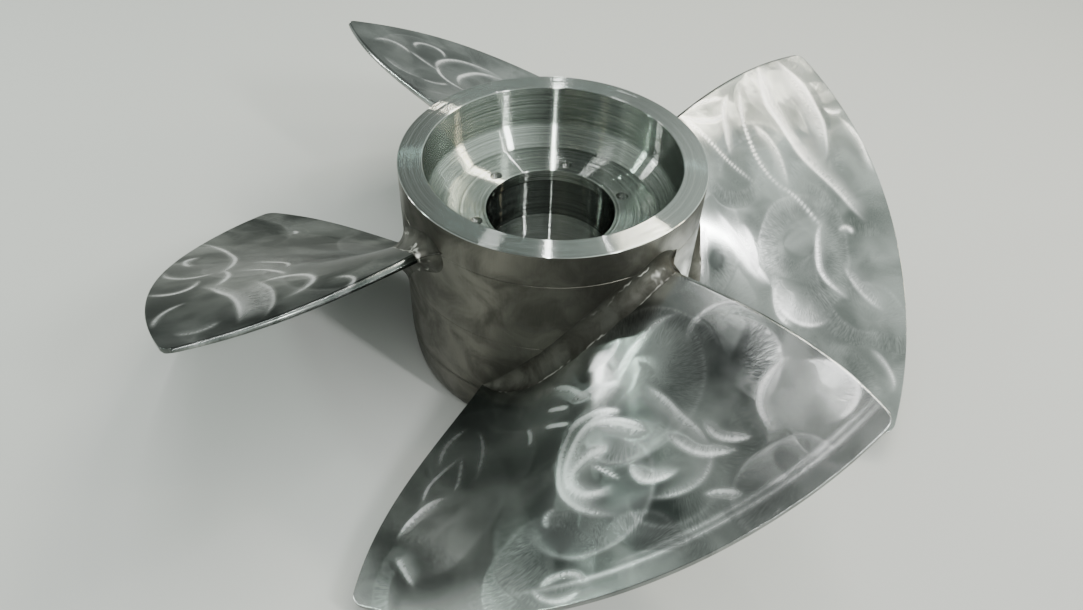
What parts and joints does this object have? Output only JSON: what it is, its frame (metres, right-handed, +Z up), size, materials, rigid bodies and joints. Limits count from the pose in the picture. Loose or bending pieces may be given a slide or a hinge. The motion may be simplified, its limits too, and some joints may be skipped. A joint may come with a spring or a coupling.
{
  "type": "fixed-blade kaplan-type axial turbine runner",
  "caption": "Turned stainless hub with a flanged recess and shaft bore, carrying twisted welded blades that sweep round it as an axial-flow water turbine runner.",
  "frame": {"origin": "centre of the hub's lower face, on the shaft axis", "axes": "+Z up along the shaft axis towards the recessed rim; the picture looks along +Y, with +X to its right"},
  "size_m": [1.039, 1.039, 0.32],
  "materials": {
    "turned_steel": "fine turned stainless steel, satin with radial highlights",
    "bore_steel": "turned stainless steel bore, darker and smooth",
    "hub_steel": "ground stainless steel, smoky and softly mottled",
    "blade_steel": "disc-ground stainless steel with looping swirl marks",
    "weld_steel": "hand-ground weld fillet, crinkled and bright on its ridges"
  },
  "bodies": {
    "root": {"hub_rim_ring": "turned_steel", "shaft_flange": "turned_steel", "bore_sleeve": "bore_steel", "hub_upper_band": "hub_steel", "hub_lower_band": "hub_steel", "hub_nose_ring": "hub_steel", "blade_1": "blade_steel", "blade_2": "blade_steel", "blade_3": "blade_steel", "blade_4": "blade_steel", "root_weld_upper_1": "weld_steel", "root_weld_upper_2": "weld_steel", "root_weld_upper_3": "weld_steel", "root_weld_upper_4": "weld_steel", "root_weld_lower_1": "weld_steel", "root_weld_lower_2": "weld_steel", "root_weld_lower_3": "weld_steel", "root_weld_lower_4": "weld_steel"}
  },
  "joints": []
}
